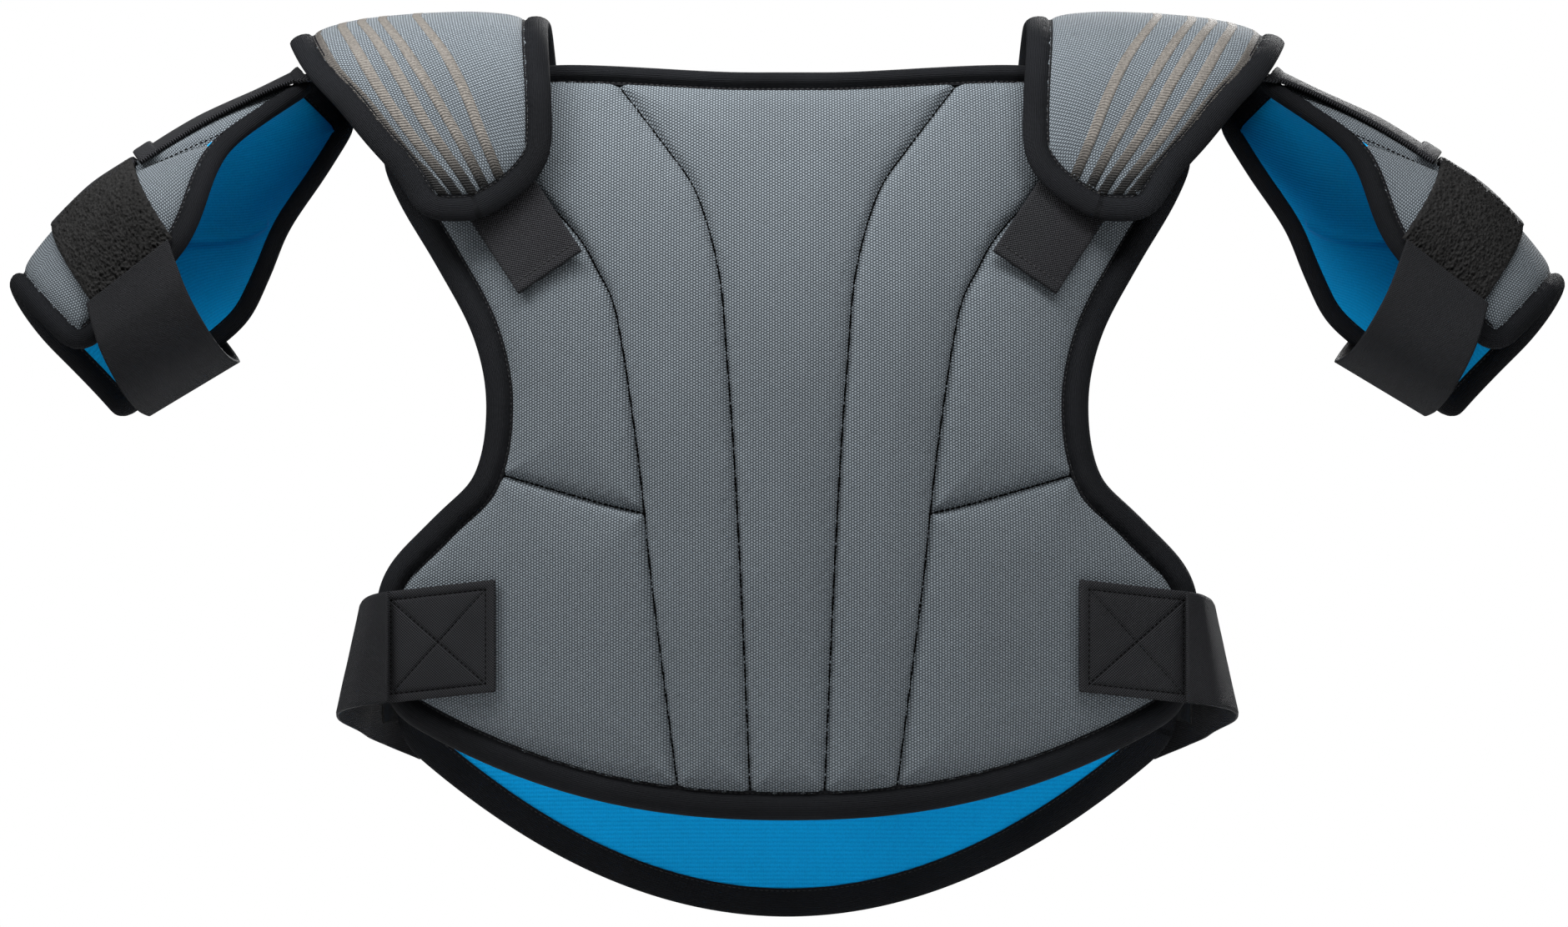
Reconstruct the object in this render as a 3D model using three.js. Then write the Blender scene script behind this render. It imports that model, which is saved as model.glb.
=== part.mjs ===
// Hockey shoulder pads: a quilted back panel, a longer chest panel, two shoulder caps, two arm pads and their
// straps. Millimetres, +Z up, the wearer faces +Y, so +X is the wearer's right. The origin is on the wearer's
// shoulder line, midway between the panels. Everything is symmetric about the plane X = 0.
import * as THREE from 'three';

// ---- driving dimensions ------------------------------------------------------------------------------------

const EDGE_GAP = 1.5;            // between a sheet's edge and its binding
const FABRIC = 1.5;              // cover, liner and webbing thickness
const QUILT_CLEAR = 1.2;         // between the foam blocks and the fabric over them
const ARM_STRAP_WIDTH = 50;
const WAIST_STRAP_WIDTH = 54;

const PANEL_HALF = 6.5;          // half the thickness of the back and chest panels
const PANEL_BINDING = 11;        // width of the tape around both panels
const PANEL_SEAM = 3;            // between neighbouring foam blocks
const FOAM_INSET = 3.5;          // from the foam to the edge of the fabric over it
const SIDE_FALL = 0.42;          // how much of its depth a panel loses at 190 mm from the centre
const SIDE_REACH = 190;

const BACK = { bottom: -353, corner: -306, shoulder: -62, cornerHalf: 183, shoulderHalf: 178, bottomPower: 2.3 };
const FRONT = { bottom: -409, corner: -325, shoulder: -74, cornerHalf: 183, shoulderHalf: 164, bottomPower: 2.4 };
const WAIST_SEAM = { edge: -198, centre: -217 };    // the horizontal quilting seam

const CAP = { top: 23, tip: -66, depth: 82, half: 5, binding: 9, squareness: 3, outerDrop: 8 };
const YOKE_HALF = 4;

const ARM = { shoulderX: 230, shoulderZ: -17, slope: 45, length: 155, half: 5, binding: 9, frontAngle: 150 };
const ARM_BAND = { start: 84, end: 84 + ARM_STRAP_WIDTH };

const WAIST_TOP = -255;

// ---- colours -----------------------------------------------------------------------------------------------

const finish = (color, roughness) => new THREE.MeshStandardMaterial({ color, roughness, metalness: 0 });
const COVER = finish(0x6b757d, 0.9);
const LINER = finish(0x0080c0, 0.85);
const TAPE = finish(0x1e2023, 0.8);
const WEB = finish(0x222326, 0.85);
const LOOP = finish(0x2a2a2b, 1.0);
const FOAM = finish(0xd8d8d2, 0.95);
const PLASTIC = finish(0x2b2e31, 0.45);

// ---- outlines ----------------------------------------------------------------------------------------------

// A smooth function through [position, value] pairs, in rising order of position.
function profile(pairs) {
  const points = pairs.map(([position, value]) => new THREE.Vector2(position, value));
  const slopes = points.map((point, i) => {
    const before = points[Math.max(i - 1, 0)];
    const after = points[Math.min(i + 1, points.length - 1)];
    return (after.y - before.y) / (after.x - before.x);
  });
  return (position) => {
    const at = THREE.MathUtils.clamp(position, points[0].x, points.at(-1).x);
    const i = Math.min(points.findLastIndex((point) => point.x <= at), points.length - 2);
    const width = points[i + 1].x - points[i].x;
    const t = (at - points[i].x) / width;
    const rise = (1 + 2 * t) * (1 - t) ** 2 * points[i].y + t * t * (3 - 2 * t) * points[i + 1].y;
    return rise + width * (t * (1 - t) ** 2 * slopes[i] - t * t * (1 - t) * slopes[i + 1]);
  };
}

const { lerp, degToRad } = THREE.MathUtils;
const steps = (from, to, count) => Array.from({ length: count + 1 }, (_, i) => lerp(from, to, i / count));

// Half widths of the panels' fabric by height, and the height of their upper edges by distance from the centre.
const backHalfWidth = profile([[-306, 183], [-252, 184], [-228, 163], [-206, 142], [-166, 134], [-128, 141],
  [-90, 161], [-62, 178]]);
const backTop = profile([[0, -12], [105, -8], [125, -22], [150, -40], [178, -62]]);
const backDepth = profile([[-353, 90], [-220, 94], [-120, 90], [-60, 80], [0, 60]]);
const frontHalfWidth = profile([[-325, 183], [-262, 184], [-234, 163], [-208, 145], [-170, 136], [-130, 140],
  [-74, 164]]);
const frontTop = profile([[0, -106], [60, -98], [105, -76], [164, -74]]);
const frontDepth = profile([[-414, 84], [-300, 91], [-150, 91], [-74, 80]]);

const bottomEdge = (panel, x) =>
  panel.bottom + (panel.corner - panel.bottom) * (Math.abs(x) / panel.cornerHalf) ** panel.bottomPower;
const sideShare = (x) => 1 - SIDE_FALL * (Math.abs(x) / SIDE_REACH) ** 2.2;

// ---- sheet and edge builders -------------------------------------------------------------------------------

function solid(positions, triangles) {
  const geometry = new THREE.BufferGeometry();
  geometry.setAttribute('position', new THREE.Float32BufferAttribute(positions.flatMap((p) => p.toArray()), 3));
  const volume = triangles.reduce((sum, [a, b, c]) =>
    sum + positions[a].dot(new THREE.Vector3().crossVectors(positions[b], positions[c])), 0);
  geometry.setIndex(triangles.flatMap(([a, b, c]) => (volume > 0 ? [a, b, c] : [a, c, b])));
  geometry.computeVertexNormals();
  return geometry;
}

// The unit normal of a surface at (u, v): across u, up v, out of the page.
function normalAt(surface, u, v) {
  const reach = 1e-3;
  const along = surface(u + reach, v).sub(surface(u - reach, v));
  const up = surface(u, v + reach).sub(surface(u, v - reach));
  return along.cross(up).normalize();
}

// A closed sheet between the heights low and high above a surface, on the given lines of u and v.
function sheet(surface, us, vs, low, high) {
  const positions = [];
  for (const height of [low, high]) {
    for (const u of us) {
      for (const v of vs) {
        positions.push(surface(u, v).addScaledVector(normalAt(surface, u, v), height));
      }
    }
  }
  const layer = us.length * vs.length;
  const at = (i, j, top) => i * vs.length + j + (top ? layer : 0);
  const triangles = [];
  const quad = (a, b, c, d) => triangles.push([a, b, c], [a, c, d]);
  const lastU = us.length - 1;
  const lastV = vs.length - 1;
  for (let i = 0; i < lastU; i++) {
    for (let j = 0; j < lastV; j++) {
      quad(at(i, j, true), at(i + 1, j, true), at(i + 1, j + 1, true), at(i, j + 1, true));
      quad(at(i, j, false), at(i, j + 1, false), at(i + 1, j + 1, false), at(i + 1, j, false));
    }
  }
  for (let i = 0; i < lastU; i++) {
    quad(at(i, 0, false), at(i + 1, 0, false), at(i + 1, 0, true), at(i, 0, true));
    quad(at(i + 1, lastV, false), at(i, lastV, false), at(i, lastV, true), at(i + 1, lastV, true));
  }
  for (let j = 0; j < lastV; j++) {
    quad(at(0, j + 1, false), at(0, j, false), at(0, j, true), at(0, j + 1, true));
    quad(at(lastU, j, false), at(lastU, j + 1, false), at(lastU, j + 1, true), at(lastU, j, true));
  }
  return solid(positions, triangles);
}

// A tape of six sides around the border of a sheet, standing out by width and half as thick as given.
function rim(surface, us, vs, half, width) {
  const border = [];
  us.slice(0, -1).forEach((u) => border.push([u, vs[0]]));
  vs.slice(0, -1).forEach((v) => border.push([us.at(-1), v]));
  us.slice(1).reverse().forEach((u) => border.push([u, vs.at(-1)]));
  vs.slice(1).reverse().forEach((v) => border.push([us[0], v]));
  const points = border.map(([u, v]) => surface(u, v));
  const normals = border.map(([u, v]) => normalAt(surface, u, v));
  const count = border.length;
  const section = [[EDGE_GAP, -half], [width * 0.8, -half], [width, -half * 0.4],
    [width, half * 0.4], [width * 0.8, half], [EDGE_GAP, half]];
  const positions = [];
  for (let i = 0; i < count; i++) {
    const before = points[i].clone().sub(points[(i + count - 1) % count]).normalize();
    const after = points[(i + 1) % count].clone().sub(points[i]).normalize();
    const outward = before.clone().add(after).cross(normals[i]).normalize();
    const mitre = 1 / Math.max(before.clone().cross(normals[i]).normalize().dot(outward), 0.7);
    for (const [out, up] of section) {
      positions.push(points[i].clone().addScaledVector(outward, out * mitre).addScaledVector(normals[i], up));
    }
  }
  const sides = section.length;
  const triangles = [];
  for (let i = 0; i < count; i++) {
    for (let k = 0; k < sides; k++) {
      const a = i * sides + k;
      const b = i * sides + ((k + 1) % sides);
      const c = ((i + 1) % count) * sides + ((k + 1) % sides);
      const d = ((i + 1) % count) * sides + k;
      triangles.push([a, b, c], [a, c, d]);
    }
  }
  return solid(positions, triangles);
}

const pads = new THREE.Group();

function add(name, geometry, material) {
  const mesh = new THREE.Mesh(geometry, material.clone());
  mesh.name = name;
  pads.add(mesh);
}

// The same shape on both sides of the body.
function addPair(name, geometry, material) {
  const mirrored = geometry.clone().scale(-1, 1, 1);
  const corners = mirrored.index.array;
  for (let i = 0; i < corners.length; i += 3) {
    [corners[i], corners[i + 1]] = [corners[i + 1], corners[i]];
  }
  mirrored.computeVertexNormals();
  add(`${name}_right`, geometry, material);
  add(`${name}_left`, mirrored, material);
}

// ---- back panel --------------------------------------------------------------------------------------------

const backPoint = (x, z) => new THREE.Vector3(x, -backDepth(z) * sideShare(x), z);

function backSurface(u, v) {
  const x = u * backHalfWidth(lerp(BACK.corner, BACK.shoulder, v));
  return backPoint(x, lerp(bottomEdge(BACK, u * BACK.cornerHalf), backTop(Math.abs(u) * BACK.shoulderHalf), v));
}

// A quilted block of the back between two side curves and two end heights, each a function of its own.
function backBlock(inner, outer, low, high) {
  return (u, v) => {
    const guessX = lerp(inner(lerp(low(0), high(0), v)), outer(lerp(low(0), high(0), v)), u);
    const guessZ = lerp(low(guessX), high(guessX), v);
    const x = lerp(inner(guessZ), outer(guessZ), u);
    return backPoint(x, lerp(low(x), high(x), v));
  };
}

// Seams of the quilting: half widths by height.
const innerSeam = profile([[-353, 18], [-250, 22.5], [-130, 29.5], [-76, 39], [-58, 46], [-30, 65], [-12, 84]]);
const outerSeam = profile([[-353, 52], [-216, 69], [-130, 80], [-86, 99], [-12, 118]]);
const waistSeam = (x) => lerp(WAIST_SEAM.centre, WAIST_SEAM.edge, Math.abs(x) / 140);

function buildBack() {
  const us = steps(-1, 1, 12);
  const vs = steps(0, 1, 12);
  add('back_cover', sheet(backSurface, us, vs, PANEL_HALF - FABRIC, PANEL_HALF), COVER);
  add('back_liner', sheet(backSurface, us, vs, -PANEL_HALF, FABRIC - PANEL_HALF), LINER);
  add('back_binding', rim(backSurface, us, vs, PANEL_HALF + 0.5, PANEL_BINDING), TAPE);

  const foamHalf = PANEL_HALF - FABRIC - QUILT_CLEAR;
  const halfSeam = PANEL_SEAM / 2;
  const low = (x) => bottomEdge(BACK, x) + FOAM_INSET;
  const high = (x) => backTop(Math.abs(x)) - FOAM_INSET;
  const block = (surface, uCount, vCount) =>
    sheet(surface, steps(0, 1, uCount), steps(0, 1, vCount), -foamHalf, foamHalf);
  const spine = (z) => innerSeam(z) - halfSeam;
  add('back_foam_centre', block(backBlock((z) => -spine(z), spine, low, high), 4, 8), FOAM);

  const innerFrom = (z) => innerSeam(z) + halfSeam;
  const innerTo = (z) => outerSeam(z) - halfSeam;
  const outerFrom = (z) => outerSeam(z) + halfSeam;
  const outerTo = (z) => backHalfWidth(z) - FOAM_INSET;
  const aboveSeam = (x) => waistSeam(x) + halfSeam;
  const belowSeam = (x) => waistSeam(x) - halfSeam;
  addPair('back_foam_inner', block(backBlock(innerFrom, innerTo, low, high), 2, 8), FOAM);
  addPair('back_foam_upper', block(backBlock(outerFrom, outerTo, aboveSeam, high), 3, 7), FOAM);
  addPair('back_foam_lower', block(backBlock(outerFrom, outerTo, low, belowSeam), 4, 5), FOAM);
}

// ---- chest panel -------------------------------------------------------------------------------------------

const frontPoint = (x, z) => new THREE.Vector3(x, frontDepth(z) * sideShare(x), z);

function frontSurface(u, v) {
  const x = -u * frontHalfWidth(lerp(FRONT.corner, FRONT.shoulder, v));
  return frontPoint(x, lerp(bottomEdge(FRONT, u * FRONT.cornerHalf), frontTop(Math.abs(u) * FRONT.shoulderHalf), v));
}

const sternumHalf = profile([[-414, 30], [-260, 44], [-100, 58]]);

function frontBlock(inner, outer, low, high) {
  const surface = backBlock(inner, outer, low, high);
  return (u, v) => {
    const point = surface(u, v);
    return frontPoint(point.x, point.z);
  };
}

function buildFront() {
  const us = steps(-1, 1, 12);
  const vs = steps(0, 1, 12);
  add('front_cover', sheet(frontSurface, us, vs, PANEL_HALF - FABRIC, PANEL_HALF), COVER);
  add('front_liner', sheet(frontSurface, us, vs, -PANEL_HALF, FABRIC - PANEL_HALF), LINER);
  add('front_binding', rim(frontSurface, us, vs, PANEL_HALF + 0.5, PANEL_BINDING), TAPE);

  const foamHalf = PANEL_HALF - FABRIC - QUILT_CLEAR;
  const halfSeam = PANEL_SEAM / 2;
  const low = (x) => bottomEdge(FRONT, x) + FOAM_INSET;
  const high = (x) => frontTop(Math.abs(x)) - FOAM_INSET;
  const block = (surface, uCount, vCount) =>
    sheet(surface, steps(0, 1, uCount), steps(0, 1, vCount), -foamHalf, foamHalf);
  const middle = (z) => sternumHalf(z) - halfSeam;
  add('front_foam_sternum', block(frontBlock((z) => -middle(z), middle, low, high), 4, 9), FOAM);

  const from = (z) => sternumHalf(z) + halfSeam;
  const to = (z) => frontHalfWidth(z) - FOAM_INSET;
  const aboveSeam = (x) => waistSeam(x) + halfSeam;
  const belowSeam = (x) => waistSeam(x) - halfSeam;
  addPair('front_foam_chest', block(frontBlock(from, to, aboveSeam, high), 4, 5), FOAM);
  addPair('front_foam_rib', block(frontBlock(from, to, low, belowSeam), 5, 6), FOAM);
}

// ---- yokes over the shoulders ------------------------------------------------------------------------------

// Paths of the yoke's two edges over the shoulder, from the back panel to the chest panel.
const yokeNeck = new THREE.CatmullRomCurve3([[121, -50, -1], [120, -30, 3], [120, 0, 5], [120, 30, 0],
  [118, 58, -22], [114, 67, -44], [112, 69, -62]].map((p) => new THREE.Vector3(...p)));
const yokeArm = new THREE.CatmullRomCurve3([[176, -45, -41], [178, -32, -26], [178, 0, -16], [176, 28, -20],
  [172, 46, -36], [166, 54, -50], [160, 57, -61]].map((p) => new THREE.Vector3(...p)));

const yokeSurface = (u, v) => yokeNeck.getPoint(THREE.MathUtils.clamp(v, 0, 1))
  .lerp(yokeArm.getPoint(THREE.MathUtils.clamp(v, 0, 1)), u);

// ---- shoulder caps -----------------------------------------------------------------------------------------

const capNeckSide = profile([[-66, 152], [-61, 143], [-52, 131], [-40, 124], [23, 127]]);
const capArmSide = profile([[-66, 170], [-46, 181], [-30, 194], [-10, 209], [6, 223], [23, 233]]);

// A flattened arch over the shoulder: v runs from the back tip to the front tip, u from neck to arm.
function capSurface(u, v) {
  const turn = degToRad(90 * v);
  const power = 2 / CAP.squareness;
  const lift = Math.abs(Math.cos(turn)) ** power;
  const z = lerp(CAP.tip, CAP.top, lift);
  const y = CAP.depth * Math.sign(v) * Math.abs(Math.sin(turn)) ** power;
  return new THREE.Vector3(lerp(capNeckSide(z), capArmSide(z), u), y, z - CAP.outerDrop * lift * u ** 3);
}

function buildShoulders() {
  addPair('yoke', sheet(yokeSurface, steps(0, 1, 3), steps(0, 1, 10), -YOKE_HALF, YOKE_HALF), TAPE);

  const us = steps(0, 1, 6);
  const front = [0.1, 0.28, 0.45, 0.6, 0.74, 0.86, 0.98];
  const vs = front.map((v) => -v).reverse().concat(front);
  addPair('cap_cover', sheet(capSurface, us, vs, 3.5, CAP.half), COVER);
  addPair('cap_plate', sheet(capSurface, us.slice(1, -1), vs.slice(2, -2), 1.2, 2.9), PLASTIC);
  addPair('cap_foam', sheet(capSurface, us, vs, -2.9, 0.6), FOAM);
  addPair('cap_liner', sheet(capSurface, us, vs, -CAP.half, -3.5), LINER);
  addPair('cap_binding', rim(capSurface, us, vs, CAP.half + 0.5, CAP.binding), TAPE);
}

// The web strap that runs from under the cap down onto the back panel.
function buildCapStraps() {
  const centre = (v) => new THREE.Vector2(lerp(150, 112, v), lerp(-45, -102, v));
  const across = new THREE.Vector2(0.83, -0.555);
  const strap = (u, v) => {
    const at = centre(v).addScaledVector(across, u);
    return backPoint(at.x, at.y);
  };
  const lift = PANEL_HALF + 1.6;
  addPair('cap_strap', sheet(strap, steps(-18, 18, 3), steps(0, 1, 4), -lift - FABRIC, -lift), WEB);
}

// ---- arm pads ----------------------------------------------------------------------------------------------

// Radii of the arm pad's middle surface by distance from its shoulder end: over the top, at its front edge, and
// front to back; and the angle at which its back edge ends.
const armTopRadius = profile([[0, 13], [20, 20], [50, 31], [80, 38], [110, 44], [155, 43]]);
const armUnderRadius = profile([[0, 18], [24, 24], [56, 31], [80, 42], [104, 50], [155, 42]]);
const armDepthRadius = profile([[0, 24], [50, 37], [100, 45], [155, 45]]);
const armBackAngle = profile([[0, 34], [24, 40], [50, 50], [82, 80], [100, 88], [155, 90]]);

const armSlope = degToRad(ARM.slope);
const armAxis = new THREE.Vector3(Math.cos(armSlope), 0, -Math.sin(armSlope));
const armUp = new THREE.Vector3(Math.sin(armSlope), 0, Math.cos(armSlope));
const armShoulder = new THREE.Vector3(ARM.shoulderX, 0, ARM.shoulderZ);

// A point of the arm pad: s along the arm, angle around it from the top, positive towards the front.
function armPoint(s, angle, grow = 0) {
  const turn = degToRad(angle);
  const under = THREE.MathUtils.smoothstep(Math.abs(angle), 0, ARM.frontAngle);
  const up = lerp(armTopRadius(s), armUnderRadius(s), under) + grow;
  return armShoulder.clone()
    .addScaledVector(armAxis, s)
    .addScaledVector(armUp, up * Math.cos(turn))
    .add(new THREE.Vector3(0, (armDepthRadius(s) + grow) * Math.sin(turn), 0));
}

const armSurface = (u, v) => {
  const s = u * ARM.length;
  return armPoint(s, lerp(-armBackAngle(s), ARM.frontAngle, v));
};

// A strip lying on the arm pad between two distances and two angles.
const armStrip = (from, to, start, end) => (u, v) => armPoint(lerp(from, to, u), lerp(start, end, v));

// Path of the elastic around the open inner side, in the plane across the arm: [front-back, up].
const armStrapPath = new THREE.SplineCurve([[-58, 4], [-56, -20], [-40, -46], [-12, -62], [20, -63], [46, -42],
  [56, -18]].map((p) => new THREE.Vector2(...p)));

function armStrap(u, v) {
  const at = armStrapPath.getPoint(THREE.MathUtils.clamp(v, 0, 1));
  const shift = 17 * Math.sin(Math.PI * THREE.MathUtils.clamp(v, 0, 1));
  return armShoulder.clone()
    .addScaledVector(armAxis, 97 + shift + u * ARM_STRAP_WIDTH)
    .addScaledVector(armUp, at.y)
    .add(new THREE.Vector3(0, at.x, 0));
}

function buildArms() {
  const us = steps(0, 1, 8);
  const vs = steps(0, 1, 9);
  addPair('arm_cover', sheet(armSurface, us, vs, 3.5, ARM.half), COVER);
  addPair('arm_foam', sheet(armSurface, us, vs, -2.9, 2.9), FOAM);
  addPair('arm_liner', sheet(armSurface, us, vs, -ARM.half, -3.5), LINER);
  addPair('arm_binding', rim(armSurface, us, vs, ARM.half + 0.5, ARM.binding), TAPE);

  const onCover = ARM.half + 1.4;
  const strip = (from, to, start, end, low, uCount, vCount) =>
    sheet(armStrip(from, to, start, end), steps(0, 1, uCount), steps(0, 1, vCount), low, low + FABRIC);
  addPair('hanger_strap', strip(2, 74, -14, 22, onCover, 6, 2), WEB);
  addPair('hanger_tab', strip(74.5, 82, -14, 22, onCover + 0.2, 1, 2), WEB);
  addPair('arm_band', strip(ARM_BAND.start, ARM_BAND.end, -16, 84, onCover, 3, 6), WEB);
  addPair('loop_patch', strip(ARM_BAND.start, ARM_BAND.end, -74, -17, onCover, 3, 4), LOOP);
  addPair('arm_strap', sheet(armStrap, [0, 1], steps(0, 1, 14), -FABRIC / 2, FABRIC / 2), WEB);
}

// ---- waist straps ------------------------------------------------------------------------------------------

// Path of the waist elastic seen from above, from the sewn patch around the side to the loop tab.
const waistPath = new THREE.SplineCurve([[193, -68], [205, -58], [213, -30], [214, 0], [208, 30],
  [203, 56]].map((p) => new THREE.Vector2(...p)));

function waistStrap(u, v) {
  const along = THREE.MathUtils.clamp(u, 0, 1);
  const at = waistPath.getPoint(along);
  const flare = 12 * Math.sin(Math.PI * along) * (0.5 - v);
  return new THREE.Vector3(at.x + flare, at.y, WAIST_TOP - WAIST_STRAP_WIDTH * (1 - v) - 31 * along ** 1.6);
}

function buildWaist() {
  const tilt = (x) => (191 - x) * 0.12;
  const patch = (u, v) => {
    const z = lerp(WAIST_TOP - WAIST_STRAP_WIDTH, WAIST_TOP, v) + tilt(u);
    return backPoint(u, z);
  };
  const lift = PANEL_HALF + 1.6;
  addPair('strap_patch', sheet(patch, steps(141, 191, 3), [0, 0.5, 1], lift, lift + FABRIC), WEB);
  addPair('waist_strap', sheet(waistStrap, steps(0, 1, 12), [0, 1], -FABRIC / 2, FABRIC / 2), WEB);

  // The loop tab stands back from the chest panel's side edge, just inside the strap.
  const tab = (u, v) => new THREE.Vector3(lerp(199, 198, u), lerp(12, 42, u), lerp(-336, -292, v));
  addPair('side_loop_tab', sheet(tab, [0, 1], [0, 1], -0.7, 0.7), LOOP);
}

// ---- assembly ----------------------------------------------------------------------------------------------

buildBack();
buildFront();
buildShoulders();
buildCapStraps();
buildArms();
buildWaist();

export default pads;
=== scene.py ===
"""Looks for the hockey shoulder pads: covers, bindings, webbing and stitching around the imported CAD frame.

Shapes are worked out in millimetres for the wearer's right side (+X) and mirrored for the left.
"""
import math

import bpy
import numpy as np
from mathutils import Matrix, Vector
from mathutils.kdtree import KDTree


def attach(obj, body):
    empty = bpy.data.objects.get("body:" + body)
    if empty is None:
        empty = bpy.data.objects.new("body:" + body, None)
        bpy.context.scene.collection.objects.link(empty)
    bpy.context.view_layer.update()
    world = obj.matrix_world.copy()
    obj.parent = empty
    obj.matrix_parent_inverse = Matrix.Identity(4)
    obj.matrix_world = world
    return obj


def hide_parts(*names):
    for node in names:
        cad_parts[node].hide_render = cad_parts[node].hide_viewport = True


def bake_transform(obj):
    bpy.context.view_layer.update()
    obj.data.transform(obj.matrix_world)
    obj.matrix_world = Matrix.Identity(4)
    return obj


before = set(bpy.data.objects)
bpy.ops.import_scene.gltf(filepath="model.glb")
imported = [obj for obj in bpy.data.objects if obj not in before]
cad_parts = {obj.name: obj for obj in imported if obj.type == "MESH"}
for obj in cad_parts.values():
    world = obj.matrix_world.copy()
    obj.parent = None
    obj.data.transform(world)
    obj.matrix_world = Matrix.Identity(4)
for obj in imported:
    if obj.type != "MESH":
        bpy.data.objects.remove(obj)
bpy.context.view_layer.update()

MM = 0.001
SIDES = (("left", -1), ("right", 1))

# ---- driving dimensions, in millimetres and degrees ----

PANEL_HALF = 6.5      # half the thickness of the back and chest panels
PANEL_TAPE = 11.5     # how far a panel's binding reaches beyond its edge
SIDE_FALL = 0.42      # share of the depth that a panel loses at its sides
SIDE_REACH = 190      # half the width where that share is reached
BACK = dict(bottom=-353, corner=-306, shoulder=-40, corner_half=183, shoulder_half=188, power=2.3)
FRONT = dict(bottom=-409, corner=-325, shoulder=-74, corner_half=183, shoulder_half=164, power=2.0)
CAP = dict(top=23, tip=-66, depth=82, half=5, tape=10.5, squareness=3, outer_drop=8)
ARM = dict(shoulder_x=230, shoulder_z=-17, slope=45, length=155, half=5, tape=9, front_angle=150)
ARM_STRAP = 50        # width of the arm elastic
ARM_SEAT = 1.0        # the arm cover's height where its binding is sewn on
CAP_SEAT = 1.0        # the same for the caps
WAIST_TOP = -255      # height of the waist strap's upper edge where it is sewn on
WAIST_STRAP = 54      # its width
STITCH_PITCH = 2.7
THREAD_LENGTH = 1.9
THREAD_RADIUS = 0.3
CLOTH_STEPS = 20
CLOTH_PRESSURE = 4.0


# ---- small helpers ----


def profile(pairs):
    """A smooth function through [position, value] pairs, in rising order of position."""
    at, value = np.array(pairs, dtype=float).T
    index = np.arange(len(at))
    before = np.maximum(index - 1, 0)
    after = np.minimum(index + 1, len(at) - 1)
    slope = (value[after] - value[before]) / (at[after] - at[before])

    def evaluate(position):
        x = np.clip(position, at[0], at[-1])
        i = np.clip(np.searchsorted(at, x, side="right") - 1, 0, len(at) - 2)
        width = at[i + 1] - at[i]
        t = (x - at[i]) / width
        rise = (1 + 2 * t) * (1 - t) ** 2 * value[i] + t * t * (3 - 2 * t) * value[i + 1]
        return rise + width * (t * (1 - t) ** 2 * slope[i] - t * t * (1 - t) * slope[i + 1])

    return evaluate


def lerp(a, b, t):
    return a + (b - a) * t


def vec(x, y, z):
    return np.stack(np.broadcast_arrays(x, y, z), axis=-1).astype(float)


def unit(vectors):
    return vectors / np.maximum(np.linalg.norm(vectors, axis=-1, keepdims=True), 1e-9)


def ease(share):
    """A smooth step from 0 to 1."""
    return share * share * (3 - 2 * share)


def catmull(points, t):
    """Points of a smooth curve through a list, t from 0 to 1, the listed points evenly spaced in t."""
    points = np.array(points, dtype=float)
    at = np.arange(len(points)) / (len(points) - 1)
    return np.stack([profile(np.column_stack([at, column]))(t) for column in points.T], axis=-1)


# ---- surfaces ----

back_half_width = profile([(-306, 184), (-256, 188), (-228, 164), (-206, 142), (-166, 134), (-128, 141),
                           (-90, 161), (-62, 178), (-40, 188)])
back_top = profile([(0, -10.8), (30, -10.6), (105, -6.8), (128, -9), (150, -20), (188, -40)])
back_depth = profile([(-353, 90), (-220, 94), (-120, 90), (-60, 80), (0, 60)])
front_half_width = profile([(-325, 183), (-262, 184), (-234, 163), (-208, 145), (-170, 136), (-130, 140),
                            (-74, 164)])
front_top = profile([(0, -106), (60, -98), (105, -76), (164, -74)])
front_depth = profile([(-414, 84), (-300, 91), (-150, 91), (-74, 80)])
cap_neck_side = profile([(-66, 152), (-61, 143), (-52, 131), (-40, 124), (23, 127)])
cap_arm_side = profile([(-66, 170), (-46, 181), (-30, 194), (-10, 209), (6, 223), (23, 233)])
arm_top_radius = profile([(0, 13), (20, 20), (50, 31), (80, 38), (110, 44), (155, 43)])
arm_under_radius = profile([(0, 18), (24, 24), (56, 31), (80, 42), (104, 50), (155, 42)])
arm_depth_radius = profile([(0, 24), (50, 37), (100, 45), (155, 45)])
arm_back_angle = profile([(0, 34), (24, 40), (50, 50), (82, 80), (100, 88), (155, 90)])


def bottom_edge(panel, x):
    rise = panel["corner"] - panel["bottom"]
    return panel["bottom"] + rise * (np.abs(x) / panel["corner_half"]) ** panel["power"]


def side_share(x):
    return 1 - SIDE_FALL * (np.abs(x) / SIDE_REACH) ** 2.2


def back_point(x, z):
    return vec(x, -back_depth(z) * side_share(x), z)


def front_point(x, z):
    return vec(x, front_depth(z) * side_share(x), z)


def back_surface(u, v):
    x = u * back_half_width(lerp(BACK["corner"], BACK["shoulder"], v))
    low = bottom_edge(BACK, u * BACK["corner_half"])
    return back_point(x, lerp(low, back_top(np.abs(u) * BACK["shoulder_half"]), v))


def front_surface(u, v):
    x = -u * front_half_width(lerp(FRONT["corner"], FRONT["shoulder"], v))
    low = bottom_edge(FRONT, u * FRONT["corner_half"])
    return front_point(x, lerp(low, front_top(np.abs(u) * FRONT["shoulder_half"]), v))


def cap_surface(u, w):
    """Across the cap by u and over it by w, from the back tip (-1) to the front tip (1)."""
    v = np.sign(w) * (1 - (1 - np.minimum(np.abs(w), 1)) ** 1.5)
    turn = np.radians(90 * v)
    power = 2 / CAP["squareness"]
    lift = np.abs(np.cos(turn)) ** power
    z = lerp(CAP["tip"], CAP["top"], lift)
    y = CAP["depth"] * np.sign(v) * np.abs(np.sin(turn)) ** power
    return vec(lerp(cap_neck_side(z), cap_arm_side(z), u), y, z - CAP["outer_drop"] * lift * u ** 3)


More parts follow.
